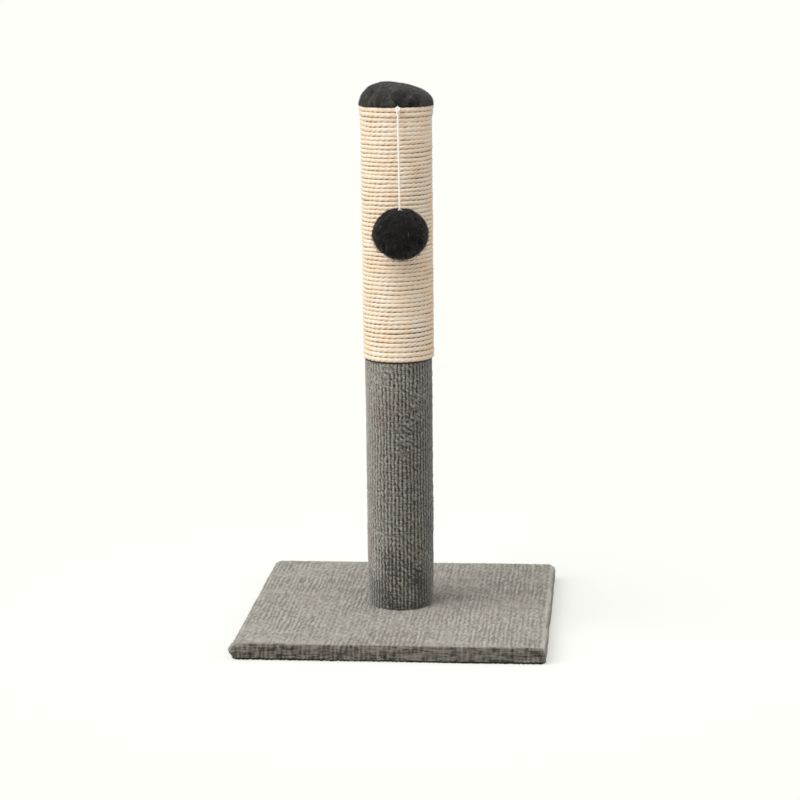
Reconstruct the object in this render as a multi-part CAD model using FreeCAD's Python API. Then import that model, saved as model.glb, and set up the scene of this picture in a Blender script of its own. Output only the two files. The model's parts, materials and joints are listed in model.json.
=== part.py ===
import FreeCAD, Part
import math
import os

# A scratching post for cats: a square base under plush cloth, a cardboard tube with a plush sleeve
# below and a sisal rope wound above, a padded dome on top, and a ball that hangs on a cord.
# Millimetres, +Z up, the origin on the floor under the middle of the post, the front towards -Y.

Vector = FreeCAD.Vector
UP = Vector(0, 0, 1)
ORIGIN = Vector(0, 0, 0)
middle_share = 0.5
HEXAGON_SIDES = 6
QUARTER_TURN = 90.0
FULL_TURN = 360.0

# Base
base_width = 300.0
base_depth = 300.0
board_thickness = 12.0
base_cloth = 2.5
base_corner_radius = 6.0
base_edge_bevel = 2.0
flap_width = 26.0
mitre_gap = 0.8

# Staples that hold the cloth under the board
flap_staples_per_side = 4
flap_staple_crown = 12.0
flap_staple_leg = 7.0
staple_wire = 1.0
staple_sink = 0.5
pocket_margin = 0.1
flap_staple_place_share = 0.6

# Bolt that holds the post to the base
bolt_radius = 4.0
bolt_head_across = 13.0
bolt_head_height = 5.0
washer_radius = 9.0
washer_thickness = 1.6
washer_play = 0.2
counterbore_depth = 5.0
counterbore_play = 1.0
bolt_hole_play = 0.5
bolt_stands_out = 4.0

# T-nut in the bottom plug
nut_thread_play = 0.1
nut_barrel_wall = 1.0
nut_barrel_length = 12.0
nut_flange_across = 20.0
nut_flange_corner = 5.0
nut_flange_thickness = 1.5
nut_prong_length = 6.0
nut_prong_width = 4.0
nut_barrel_play = 0.1

# Post
tube_radius = 31.4
tube_wall = 4.5
tube_length = 498.0
plug_thickness_bottom = 18.0
plug_thickness_top = 12.0
plug_play = 0.15
plug_staples_around = 4
plug_staple_crown = 10.0
plug_staple_leg = 13.0
plug_staple_depth_shares = (0.5, 0.67)

# Plush sleeve
sleeve_pile = 1.5
sleeve_length = 249.7
sleeve_play = 0.1
sleeve_seam = 1.0

# Rope, in fewer and wider loops than the real rope's close turns
rope_loops = 16
rope_thickness = 3.35
rope_bevel = 1.5
rope_loop_gap = 0.45
rope_play = 0.1
rope_to_sleeve = 0.3
rope_lift_over_skirt = 1.1
rope_staple_crown = 5.0
rope_staple_leg = 6.5
rope_staple_from_end = 3.0

# Cap
cap_radius = 36.5
cap_height = 25.0
cap_rim_height = 2.6
cap_cloth = 1.8
cap_hem_inset = 1.4
cap_facets = 20
skirt_thickness = 0.6
skirt_length = 8.0
skirt_staples = 4
skirt_staple_crown = 6.0
skirt_staple_leg = 4.0
skirt_staple_wire = 0.5
soft_gap = 0.2

# Cord and the ball
toy_turn = -82.0
cord_radius = 1.0
cord_length = 94.0
cord_play = 0.1
cord_facets = 6
pivot_radius = 38.2
pivot_below_tube_top = 1.5
top_knot_radius = 2.0
end_knot_radius = 2.4
knot_gap = 0.3
channel_play = 0.4
tail_start_share = 0.5
tail_staple_share = 0.74
tail_edge_share = 0.97
tail_start_aside = 2.5
tail_staple_aside = 0.8
tail_arc_share = 0.45
cord_staple_play = 0.4
cord_staple_leg = 7.0
cord_staple_pocket = 4.0
ball_radius = 26.9
ball_half_height = 24.75
ball_cloth = 1.6
ball_facets = 16
ball_rest_gap = 0.3
ball_hole_play = 0.3

# How far a cut runs past the face that it opens
overrun = 1.0

# Rings of the soft forms, as angles on an ellipse from its rim towards its flat crown
dome_angles = (4.0, 24.0, 44.0, 63.0, 81.0)
dome_inner_angles = (12.0, 45.0, 78.0)
ball_angles = (-78.0, -52.0, -26.0, 0.0, 26.0, 52.0, 78.0)
ball_inner_angles = (-74.0, -37.0, 0.0, 37.0, 74.0)
knot_angles = (-50.0, 0.0, 50.0)

# Heights and radii that follow
board_bottom = base_cloth
board_top = board_bottom + board_thickness
base_top = board_top + base_cloth
counterbore_top = board_bottom + counterbore_depth
plug_top = base_top + plug_thickness_bottom
tube_top = base_top + tube_length
tube_inner_radius = tube_radius - tube_wall
plug_radius = tube_inner_radius - plug_play
sleeve_inner_radius = tube_radius + sleeve_play
sleeve_radius = sleeve_inner_radius + sleeve_pile
sleeve_top = base_top + sleeve_length
hem_height = tube_top - cord_play
rope_inner_radius = tube_radius + rope_play
rope_radius = rope_inner_radius + rope_thickness
rope_first_radius = rope_inner_radius + rope_lift_over_skirt
rope_top = hem_height - soft_gap
rope_bottom = sleeve_top + rope_to_sleeve
rope_pitch = (rope_top - rope_bottom + rope_loop_gap) / rope_loops
rope_band = rope_pitch - rope_loop_gap
skirt_inner_radius = (tube_radius + soft_gap / 2) / math.cos(math.pi / cap_facets)
skirt_radius = skirt_inner_radius + skirt_thickness
pivot_height = tube_top - pivot_below_tube_top
channel_half_width = cord_radius + channel_play
tail_height = tube_top + cord_radius + cord_play
nut_bore_radius = bolt_radius + nut_thread_play
nut_barrel_radius = nut_bore_radius + nut_barrel_wall
ball_reach = cord_length + ball_half_height
ball_axis_radius = rope_radius + ball_rest_gap + ball_radius
lean = math.degrees(math.asin((ball_axis_radius - pivot_radius) / ball_reach))


def save(name, shape):
    shape.exportStep("parts/" + name + ".step")


def cylinder(radius, bottom, top):
    return Part.makeCylinder(radius, top - bottom, Vector(0, 0, bottom))


def ring(outer, inner, bottom, top):
    return cylinder(outer, bottom, top).cut(cylinder(inner, bottom - overrun, top + overrun))


def centred_box(width, depth, bottom, top):
    return Part.makeBox(width, depth, top - bottom, Vector(-width / 2, -depth / 2, bottom))


def polygon(corners):
    return Part.makePolygon(corners + corners[:1])


def ring_corners(radius, height, sides):
    turns = [math.tau * side / sides for side in range(sides)]
    return [Vector(radius * math.cos(turn), radius * math.sin(turn), height) for turn in turns]


def many_sided(rings, sides):
    """A solid of flat faces through regular polygons about Z, given as (corner radius, height)."""
    corners = [ring_corners(radius, height, sides) for radius, height in rings]
    faces = [Part.Face(polygon(corners[0])), Part.Face(polygon(corners[-1]))]
    for lower, upper in zip(corners, corners[1:]):
        for side in range(sides):
            after = (side + 1) % sides
            faces.append(Part.Face(polygon([lower[side], lower[after], upper[after], upper[side]])))
    solid = Part.Solid(Part.Shell(faces))
    if solid.Volume < 0:
        solid.reverse()
    return solid


def oval(radius, half_height, middle, angles):
    """Rings of an ellipse about Z, as (radius, height), the last at its full half height."""
    rise = half_height / math.sin(math.radians(angles[-1]))
    turns = [math.radians(angle) for angle in angles]
    return [(radius * math.cos(turn), middle + rise * math.sin(turn)) for turn in turns]


def rounded_plate(width, depth, bottom, top, corner_radius):
    plate = centred_box(width, depth, bottom, top)
    upright = [edge for edge in plate.Edges if edge.BoundBox.ZLength > (top - bottom) / 2]
    return plate.makeFillet(corner_radius, upright)


def staple(crown, leg, wire):
    """A staple with its crown along X below z = 0 and its legs up from there."""
    back = Part.makeBox(crown, wire, wire, Vector(-crown / 2, -wire / 2, -wire))
    side = crown / 2 - wire
    legs = [Part.makeBox(wire, wire, leg, Vector(x, -wire / 2, 0)) for x in (-crown / 2, side)]
    return back.fuse(legs).removeSplitter()


def around(shape, count, first_angle=0.0):
    """Copies of a shape, evenly turned about Z."""
    copies = []
    for index in range(count):
        copy = shape.copy()
        copy.rotate(ORIGIN, UP, first_angle + index * FULL_TURN / count)
        copies.append(copy)
    return copies


def driven_in(crown, leg, wire, radius, height):
    """A staple at the front of the post, its legs inwards and its crown's ends flush at the radius."""
    one = staple(crown, leg, wire)
    one.rotate(ORIGIN, Vector(1, 0, 0), -QUARTER_TURN)
    flush = math.sqrt(radius ** 2 - (crown / 2) ** 2)
    one.translate(Vector(0, wire - flush, height))
    return one


# Base

def flap_staple_places():
    """Each side's staples: the place of the crown's middle and the side's turn about Z."""
    inset = flap_width * flap_staple_place_share + base_cloth
    places = []
    for side in range(4):
        across = base_depth if side % 2 == 0 else base_width
        along = base_width if side % 2 == 0 else base_depth
        step = (along - 2 * (flap_width + inset)) / (flap_staples_per_side - 1)
        for index in range(flap_staples_per_side):
            x = (index - (flap_staples_per_side - 1) / 2) * step
            places.append((Vector(x, inset - across / 2, 0), side * QUARTER_TURN))
    return places


def on_flaps(shape):
    """Copies of a shape at the places of the flaps' staples."""
    copies = []
    for place, turn in flap_staple_places():
        copy = shape.copy()
        copy.translate(place)
        copy.rotate(ORIGIN, UP, turn)
        copies.append(copy)
    return copies


def make_cover_staples():
    one = staple(flap_staple_crown, flap_staple_leg, staple_wire)
    one.translate(Vector(0, 0, staple_sink + staple_wire))
    return Part.makeCompound(on_flaps(one))


def make_base_board():
    board = rounded_plate(
        base_width - 2 * base_cloth, base_depth - 2 * base_cloth,
        board_bottom, board_top, base_corner_radius - base_cloth,
    )
    hole = cylinder(bolt_radius + bolt_hole_play, board_bottom - overrun, board_top + overrun)
    counterbore = cylinder(washer_radius + counterbore_play, board_bottom - overrun, counterbore_top)
    return board.cut([hole, counterbore])


def make_base_cover():
    outside = rounded_plate(base_width, base_depth, 0, base_top, base_corner_radius)
    rims = [edge for edge in outside.Edges if edge.BoundBox.ZLength < base_edge_bevel]
    cover = outside.makeChamfer(base_edge_bevel, rims)
    room = rounded_plate(
        base_width - 2 * base_cloth, base_depth - 2 * base_cloth,
        board_bottom, board_top, base_corner_radius - base_cloth,
    )
    bare = 2 * (flap_width + base_cloth)
    window = centred_box(base_width - bare, base_depth - bare, -overrun, board_bottom + overrun)
    hole = cylinder(bolt_radius + bolt_hole_play, board_top - overrun, base_top + overrun)
    cuts = [room, window, hole]
    for side_x in (-1, 1):
        for side_y in (-1, 1):
            corner = Vector(side_x * (base_width - bare) / 2, side_y * (base_depth - bare) / 2, 0)
            slit_length = flap_width * math.sqrt(2) + mitre_gap
            slit = Part.makeBox(
                slit_length, mitre_gap, board_bottom + overrun,
                Vector(-mitre_gap, -mitre_gap / 2, -overrun),
            )
            slit.rotate(ORIGIN, UP, math.degrees(math.atan2(side_y, side_x)))
            slit.translate(corner)
            cuts.append(slit)
    pocket = Part.makeBox(
        flap_staple_crown + 2 * pocket_margin, staple_wire + 2 * pocket_margin,
        staple_sink + staple_wire + overrun,
        Vector(-flap_staple_crown / 2 - pocket_margin, -staple_wire / 2 - pocket_margin, -overrun),
    )
    return cover.cut(cuts).cut(on_flaps(pocket))


def make_base_bolt():
    head_top = counterbore_top - washer_thickness
    head_bottom = head_top - bolt_head_height
    end = plug_top + nut_flange_thickness + bolt_stands_out
    corner = bolt_head_across / math.sqrt(3)
    head = many_sided([(corner, head_bottom), (corner, head_top)], HEXAGON_SIDES)
    return head.fuse(cylinder(bolt_radius, head_top, end)).removeSplitter()


def make_base_washer():
    return ring(
        washer_radius, bolt_radius + washer_play, counterbore_top - washer_thickness, counterbore_top
    )


# Post

def make_post_tube():
    return ring(tube_radius, tube_inner_radius, base_top, tube_top)


def make_bottom_plug():
    return ring(plug_radius, nut_barrel_radius + nut_barrel_play, base_top, plug_top)


def make_top_plug():
    return cylinder(plug_radius, tube_top - plug_thickness_top, tube_top)


def make_t_nut():
    """A barrel down in the plug, a flange on top, and two prongs bent down from the flange."""
    half = nut_flange_across / 2
    cut = half - nut_flange_corner
    outline = [
        Vector(half, -cut, plug_top), Vector(half, cut, plug_top),
        Vector(cut, half, plug_top), Vector(-cut, half, plug_top),
        Vector(-half, cut, plug_top), Vector(-half, -cut, plug_top),
        Vector(-cut, -half, plug_top), Vector(cut, -half, plug_top),
    ]
    flange = Part.Face(polygon(outline)).extrude(UP * nut_flange_thickness)
    barrel = cylinder(nut_barrel_radius, plug_top - nut_barrel_length, plug_top)
    prongs = []
    for side in (-1, 1):
        outer = side * half
        inner = side * (half - nut_flange_thickness)
        root = [
            Vector(outer, -nut_prong_width / 2, plug_top), Vector(outer, nut_prong_width / 2, plug_top),
            Vector(outer, 0, plug_top - nut_prong_length),
        ]
        prong = Part.Face(polygon(root)).extrude(Vector(inner - outer, 0, 0))
        prongs.append(prong)
    bore = cylinder(nut_bore_radius, base_top, plug_top + nut_flange_thickness + overrun)
    return flange.fuse([barrel] + prongs).cut(bore).removeSplitter()


def make_plug_staples():
    """Staples through the tube's wall into each plug, their crowns flush in the tube."""
    low_share, high_share = plug_staple_depth_shares
    low = base_top + plug_thickness_bottom * low_share
    high = tube_top - plug_thickness_top * high_share
    staples = []
    for height in (low, high):
        one = driven_in(plug_staple_crown, plug_staple_leg, staple_wire, tube_radius, height)
        staples += around(one, plug_staples_around, QUARTER_TURN / 2)
    return Part.makeCompound(staples)


def make_post_sleeve():
    sleeve = ring(sleeve_radius, sleeve_inner_radius, base_top, sleeve_top)
    seam = Part.makeBox(
        sleeve_seam, sleeve_radius, sleeve_length + 2 * overrun,
        Vector(-sleeve_seam / 2, 0, base_top - overrun),
    )
    return sleeve.cut(seam)


# Rope

def rope_halves():
    """The half turns of the winding: level round the front, then down one pitch round the back."""
    halves = []
    radius = rope_first_radius
    height = rope_top - rope_band / 2
    for loop in range(rope_loops):
        right = Vector(radius, 0, height)
        front = Vector(0, -radius, height)
        left = Vector(-radius, 0, height)
        halves.append(Part.Arc(right, front, left))
        if loop < rope_loops - 1:
            radius = rope_inner_radius
            height -= rope_pitch
            below = Vector(radius, 0, height)
            middle = (left + below) * middle_share
            back = middle + Vector(0, (left - below).Length / 2, 0)
            halves.append(Part.Arc(left, back, below))
    return halves


def rope_section():
    """Corners of the band's section, as (outwards, up): a flat back and a bevelled crown."""
    half = rope_band / 2
    crown = half - rope_bevel
    return [(0, -half), (0, half), (rope_thickness, crown), (rope_thickness, -crown)]


def rope_least_gap(halves):
    """The least gap between one turn and the next, on points round the band's section."""
    steps = 8
    spots = 4
    corners = rope_section()
    outline = []
    for index, (out, up) in enumerate(corners):
        next_out, next_up = corners[(index + 1) % len(corners)]
        for spot in range(spots):
            share = spot / spots
            outline.append((out + (next_out - out) * share, up + (next_up - up) * share))
    clouds = []
    for half in halves:
        cloud = []
        first, last = half.FirstParameter, half.LastParameter
        for step in range(steps + 1):
            spine = half.value(first + (last - first) * step / steps)
            away = Vector(spine.x, spine.y, 0).normalize()
            cloud.append([spine + away * out + UP * up for out, up in outline])
        clouds.append(cloud)
    least = rope_pitch
    for above, below in zip(clouds, clouds[2:]):
        for upper, lower in zip(above, below):
            least = min(least, min(a.distanceToPoint(b) for a in upper for b in lower))
    return least


def make_sisal_rope():
    halves = rope_halves()
    start = halves[0].StartPoint
    end = halves[-1].EndPoint
    tail = Vector(0, rope_thickness, 0)
    edges = [Part.LineSegment(start + tail, start).toShape()]
    edges += [half.toShape() for half in halves]
    edges.append(Part.LineSegment(end, end + tail).toShape())
    corners = [start + tail + Vector(out, 0, up) for out, up in rope_section()]
    sweep = Part.BRepOffsetAPI.MakePipeShell(Part.Wire(edges))
    sweep.setBiNormalMode(UP)
    sweep.add(polygon(corners), False, False)
    sweep.build()
    sweep.makeSolid()
    rope = sweep.shape()
    print("rope: least gap between turns, mm:", round(rope_least_gap(halves), 3))
    print("rope: volume, mm3:", round(rope.Volume))
    return rope


def make_rope_staples():
    """One staple across each end of the rope, sunk in it and driven into the tube."""
    halves = rope_halves()
    turn_in = math.degrees(rope_staple_from_end / rope_inner_radius)
    staples = []
    for place, side in ((halves[0].StartPoint, 1), (halves[-1].EndPoint, -1)):
        one = staple(rope_staple_crown, rope_staple_leg, staple_wire)
        one.rotate(ORIGIN, Vector(1, 0, 0), -QUARTER_TURN)
        one.rotate(ORIGIN, Vector(0, 1, 0), QUARTER_TURN)
        one.translate(Vector(0, staple_wire - rope_thickness - abs(place.x), place.z))
        one.rotate(ORIGIN, UP, side * (QUARTER_TURN - turn_in))
        staples.append(one)
    return Part.makeCompound(staples)


# Cap

def cap_channel(bottom, top):
    """The room that the cord and its staple take under the dome, in the toy's direction."""
    slot = Part.makeBox(
        cap_radius + overrun, 2 * channel_half_width, top - bottom, Vector(0, -channel_half_width, bottom)
    )
    pocket_top = tail_height + cord_radius + staple_wire + 2 * soft_gap
    pocket = Part.makeBox(
        tube_inner_radius, 2 * cord_staple_pocket, pocket_top - bottom,
        Vector(0, -cord_staple_pocket, bottom),
    )
    room = slot.fuse(pocket)
    room.rotate(ORIGIN, UP, toy_turn)
    return room


def cap_room(clearance):
    """The space inside the cap's cloth, less a clearance all round."""
    rim = hem_height + cap_rim_height
    radius = cap_radius - cap_cloth - clearance
    half_height = tube_top + cap_height - rim - cap_cloth - clearance
    floor = hem_height + cap_cloth + clearance
    rings = [(radius - cap_hem_inset, floor)] + oval(radius, half_height, rim, dome_inner_angles)
    throat_radius = skirt_inner_radius - clearance
    throat = many_sided([(throat_radius, tube_top), (throat_radius, floor)], cap_facets)
    return many_sided(rings, cap_facets).fuse(throat)


def make_cap_cover():
    rim = hem_height + cap_rim_height
    rings = [(cap_radius - cap_hem_inset, hem_height)]
    rings += oval(cap_radius, tube_top + cap_height - rim, rim, dome_angles)
    skirt_bottom = hem_height - skirt_length
    skirt = many_sided([(skirt_radius, skirt_bottom), (skirt_radius, hem_height)], cap_facets)
    throat = many_sided(
        [(skirt_inner_radius, skirt_bottom - overrun), (skirt_inner_radius, tube_top)], cap_facets
    )
    cover = many_sided(rings, cap_facets).fuse(skirt).cut([throat, cap_room(0)])
    return cover.cut(cap_channel(tube_top - cap_cloth, tail_height + cord_radius + channel_play))


def make_cap_filling():
    channel = cap_channel(tube_top - overrun, tail_height + cord_radius + channel_play)
    return cap_room(soft_gap).cut(channel).removeSplitter()


def make_cap_staples():
    one = driven_in(
        skirt_staple_crown, skirt_staple_leg, skirt_staple_wire, skirt_radius,
        hem_height - skirt_length / 2,
    )
    return Part.makeCompound(around(one, skirt_staples, QUARTER_TURN / 2))


# Cord and ball, made with the toy in the +X direction and then turned to its place

def to_toy(shape):
    shape.rotate(ORIGIN, UP, toy_turn)
    return shape


def along_cord(shape):
    """Moves a shape from the pivot at the origin, with the cord down -Z, to the leaning cord."""
    shape.rotate(ORIGIN, Vector(0, 1, 0), -lean)
    shape.translate(Vector(pivot_radius, 0, pivot_height))
    return to_toy(shape)


def cord_tube(points):
    """A many-sided tube along straight runs that tangent arcs join."""
    edges = []
    radii = []
    last = points[0]
    for before, corner, after in zip(points, points[1:], points[2:]):
        back = before - corner
        ahead = after - corner
        half_turn = (math.pi - back.getAngle(ahead)) / 2
        trim = tail_arc_share * min(back.Length, ahead.Length)
        radius = trim / math.tan(half_turn)
        arc_start = corner + back.normalize() * trim
        arc_end = corner + ahead.normalize() * trim
        inwards = (back + ahead).normalize()
        arc_middle = corner + inwards * (radius / math.cos(half_turn) - radius)
        edges.append(Part.LineSegment(last, arc_start).toShape())
        edges.append(Part.Arc(arc_start, arc_middle, arc_end).toShape())
        radii.append(radius)
        last = arc_end
    edges.append(Part.LineSegment(last, points[-1]).toShape())
    path = Part.Wire(edges)
    section = polygon(ring_corners(cord_radius, 0, cord_facets))
    section.Placement = FreeCAD.Placement(points[0], FreeCAD.Rotation(UP, points[1] - points[0]))
    tube = path.makePipeShell([section], True, False)
    area = cord_facets / 2 * cord_radius ** 2 * math.sin(math.tau / cord_facets)
    print("cord tail: radii, mm:", [round(radius, 1) for radius in radii])
    print("cord tail: length, mm:", round(path.Length, 1))
    print("cord tail: volume over section times length:",
          round(tube.Volume / (area * path.Length), 4))
    return tube


def make_cord_tail():
    """From the staple on the top plug, over the tube's end, out under the hem to the knot."""
    exit_lean = Vector(rope_first_radius, 0, tail_height) - Vector(pivot_radius, 0, pivot_height)
    end = Vector(pivot_radius, 0, pivot_height) + exit_lean.normalize() * (top_knot_radius + knot_gap)
    points = [
        Vector(tube_inner_radius * tail_start_share, tail_start_aside, tail_height),
        Vector(tube_inner_radius * tail_staple_share, tail_staple_aside, tail_height),
        Vector(tube_inner_radius * tail_edge_share, 0, tail_height),
        Vector(rope_first_radius, 0, tail_height),
        end,
    ]
    return to_toy(cord_tube(points))


def make_cord_staple():
    """Over the cord on the top plug, its crown across the cord."""
    crown = 2 * (cord_radius + cord_staple_play + staple_wire)
    one = staple(crown, cord_staple_leg, staple_wire)
    one.rotate(ORIGIN, Vector(1, 0, 0), 2 * QUARTER_TURN)
    one.rotate(ORIGIN, UP, QUARTER_TURN)
    crown_height = tail_height + cord_radius + cord_play
    one.translate(Vector(tube_inner_radius * tail_staple_share, tail_staple_aside, crown_height))
    return to_toy(one)


def make_cord_top_knot():
    return along_cord(many_sided(oval(top_knot_radius, top_knot_radius, 0, knot_angles), cord_facets))


def make_toy_cord():
    start = top_knot_radius + knot_gap
    end = cord_length + ball_cloth + knot_gap
    return along_cord(cylinder(cord_radius, -end, -start))


def make_cord_end_knot():
    middle = -(cord_length + ball_cloth + knot_gap + end_knot_radius)
    return along_cord(many_sided(oval(end_knot_radius, end_knot_radius, middle, knot_angles), cord_facets))


def ball_bore(radius, depth):
    return cylinder(radius, -cord_length - depth, -cord_length + overrun)


def ball_form(inset, angles):
    rings = oval(ball_radius - inset, ball_half_height - inset, -ball_reach, angles)
    return many_sided(rings, ball_facets)


def make_ball_cover():
    hole = ball_bore(cord_radius + ball_hole_play, 2 * ball_cloth)
    return along_cord(ball_form(0, ball_angles).cut([ball_form(ball_cloth, ball_inner_angles), hole]))


def make_ball_filling():
    depth = ball_cloth + 2 * (end_knot_radius + knot_gap)
    knot_room = ball_bore(end_knot_radius + knot_gap, depth)
    return along_cord(ball_form(ball_cloth + soft_gap, ball_inner_angles).cut(knot_room))


pieces = {
    "base_board": make_base_board,
    "base_cover": make_base_cover,
    "cover_staples": make_cover_staples,
    "base_bolt": make_base_bolt,
    "base_washer": make_base_washer,
    "post_tube": make_post_tube,
    "bottom_plug": make_bottom_plug,
    "top_plug": make_top_plug,
    "t_nut": make_t_nut,
    "plug_staples": make_plug_staples,
    "post_sleeve": make_post_sleeve,
    "sisal_rope": make_sisal_rope,
    "rope_staples": make_rope_staples,
    "cap_cover": make_cap_cover,
    "cap_filling": make_cap_filling,
    "cap_staples": make_cap_staples,
    "cord_tail": make_cord_tail,
    "cord_staple": make_cord_staple,
    "cord_top_knot": make_cord_top_knot,
    "toy_cord": make_toy_cord,
    "cord_end_knot": make_cord_end_knot,
    "ball_cover": make_ball_cover,
    "ball_filling": make_ball_filling,
}

os.makedirs("parts", exist_ok=True)
for name, make in pieces.items():
    save(name, make())
print("ball axis leans, degrees:", round(lean, 2))
print("pivot:", round(pivot_radius, 2), round(pivot_height, 2))
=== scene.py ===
"""The looks of the cat scratching post: plush, sisal, wadding, wood, cardboard and steel.

Shapes are worked out in millimetres, and their relief comes from seeded random fields, so that
each run gives the same result.
"""

import functools
import json
import math

import bpy
import numpy as np
from mathutils import Matrix, Vector


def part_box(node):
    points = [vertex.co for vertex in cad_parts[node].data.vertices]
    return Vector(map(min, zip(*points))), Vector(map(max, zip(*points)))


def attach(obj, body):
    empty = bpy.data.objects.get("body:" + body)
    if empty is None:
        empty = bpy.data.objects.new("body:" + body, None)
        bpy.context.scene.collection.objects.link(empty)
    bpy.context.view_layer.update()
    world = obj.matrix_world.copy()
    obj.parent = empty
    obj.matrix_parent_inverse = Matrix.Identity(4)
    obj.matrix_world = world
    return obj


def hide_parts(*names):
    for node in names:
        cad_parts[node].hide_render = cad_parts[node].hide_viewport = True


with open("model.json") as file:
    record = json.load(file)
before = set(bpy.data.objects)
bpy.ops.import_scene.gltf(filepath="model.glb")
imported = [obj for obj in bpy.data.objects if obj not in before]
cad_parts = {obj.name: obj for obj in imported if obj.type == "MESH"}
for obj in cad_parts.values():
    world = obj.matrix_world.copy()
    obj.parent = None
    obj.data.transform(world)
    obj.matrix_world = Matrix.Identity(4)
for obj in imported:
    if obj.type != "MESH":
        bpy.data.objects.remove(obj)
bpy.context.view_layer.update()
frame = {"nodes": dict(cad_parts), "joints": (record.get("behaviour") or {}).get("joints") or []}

mm = 0.001
UP = np.array((0.0, 0.0, 1.0))
quarter = math.pi / 2
play = 0.1  # between the tube and what is round it
joints = {joint["name"]: joint for joint in frame["joints"]}

# Camera, in millimetres, degrees and the photograph's pixels
photo_side = 800
azimuth, pitch, roll = (math.radians(angle) for angle in (5.368, 10.392, -0.658))
camera_distance = 2342.9
camera_height = 695.1
camera_aside = 1.167
focal_pixels = 2412.6
middle_row = 358.0
sensor_width = 36.0

# Light: a wide lamp from the left, a weak one from the right, and an even sky; metres and degrees
lamps = {"key": ((-0.65, -0.40, 0.66), 2.5, 62.0), "fill": ((0.60, -0.50, 0.62), 0.75, 90.0)}
sky_strength = 0.40
background = (255, 255, 250)
floor_tone = (160, 160, 157)
floor_seen_tone = (254, 254, 250)
floor_half = 6.0
floor_fade = (0.20, 0.50, 0.45)

# Waves in each random field
field_waves = 28

# Rope: its rows, which are wider at both ends, and the way that its line takes
rope_turns = 58
rope_round_turns = 57.56
rope_rings = 8200
turn_rings = int(rope_rings / rope_round_turns)
rope_start = math.radians(165.0)
rope_bottom_shares = (1.10, 1.13, 1.12, 1.08, 0.98)
rope_top_shares = (1.06, 1.12, 1.16, 1.16, 1.14, 1.10)
rope_level_turns = (2, 8)
rope_level_share = 0.60
rope_lift = 1.1

# Rope: its section of three strands, and the painted shade in the hollows between the strands
rope_half = 1.75
rope_squareness = 3.4
rope_lay = 18.0
strand_shares = (0.78, 0.93, 1.0, 0.96)
strand_hollows = (1.0, 0.5, 0.0, 0.2)
strand_count = 3
# The row whose groove takes the darkest painted shade
open_row = 54

# Loose fibres of the rope
fibre_count = 1400
fibre_length = (2.0, 7.0)
fibre_radius = 0.07
fibre_steps = 3

# Plush of the sleeve
# Painted shade: the plush's darkest colour, in the gaps at the base's foot and under the rope
painted_gap_shade = (26, 21, 18)
sleeve_ribs = 54
sleeve_columns_per_rib = 7
sleeve_rows = 250
sleeve_short = 0.5
sleeve_fullness = 0.3
sleeve_rib_depth = 1.2
bead_spacing = 2.7

# Plush of the base
rib_spacing = 4.4
rib_depth = 0.7
fullest_pile = 1.1

# Form of the base's cover
base_columns = 380
base_rows = 150
edge_radius = 2.2
foot_radius = 1.2
side_round = 3.0
round_width = 9.0
corner_radius = 6.0
least_corner = 0.4
corner_bulge = 2.0
corner_pull = 3.6
corner_pull_width = 20.0
corner_tuck = 0.4
# Painted shade: the band at the foot of the cover takes the darkest colour up to this height
painted_foot_shade_height = foot_radius + 0.8
flap_width = 28.5
flap_rows = 12
bolt_hole_radius = 4.5
base_pile_lowest = 4.0

# Dents that the flaps' staples and mitres press into the cloth
staple_step = 70.6
staple_dent = 1.5
mitre_dent = 0.9

# Cap
cap_columns = 240
cap_rows = 46
cap_radius = 35.9
cap_apex = 536.0
cap_lean_share = 0.134
cap_lip = 1.6
gather_count = 31
pull_depth = 1.6
cord_notch_lift = 3.2

# Ball
ball_columns = 180
ball_rows = 90
ball_radius = 26.0
ball_half_height = 24.3
ball_gather_count = 13
ball_lump_limit = 0.45

# Piles: number of hairs, length, thickness, seed, lean and bends
piles = {
    "sleeve_pile": (30000, 1.3, 0.11, 63, (0.0, 0.0, -0.7), 1),
    "base_pile": (48000, 1.4, 0.13, 64, (0.0, -0.6, -0.1), 1),
    "cap_pile": (16000, 1.5, 0.09, 61, (0.0, 0.0, -0.5), 2),
    "ball_pile": (18000, 1.5, 0.10, 62, (0.0, 0.0, -0.25), 2),
    "ball_tufts": (320, 3.4, 0.26, 65, (0.0, 0.0, -0.8), 2),
}

# Cord, with the tail's route under the cap as (out from the post's axis, aside, height)
cord_diameter = 2.0
cord_lay = 5.0
cord_plies = (1.04, 1.16, 1.24, 1.16) * 2
# Painted shade between the plies
cord_hollows = (1.0, 0.3, 0.0, 0.3) * 2
cord_step = 0.45
tail_route = ((13.45, 2.5, 516.1), (19.9, 0.8, 516.1), (26.1, 0.0, 516.1), (32.6, 0.0, 516.1),
              (36.2, 0.0, 514.5))
knot_rings = 72
knot_sides = 8

# Wadding
wadding_grid = 1.6

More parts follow.
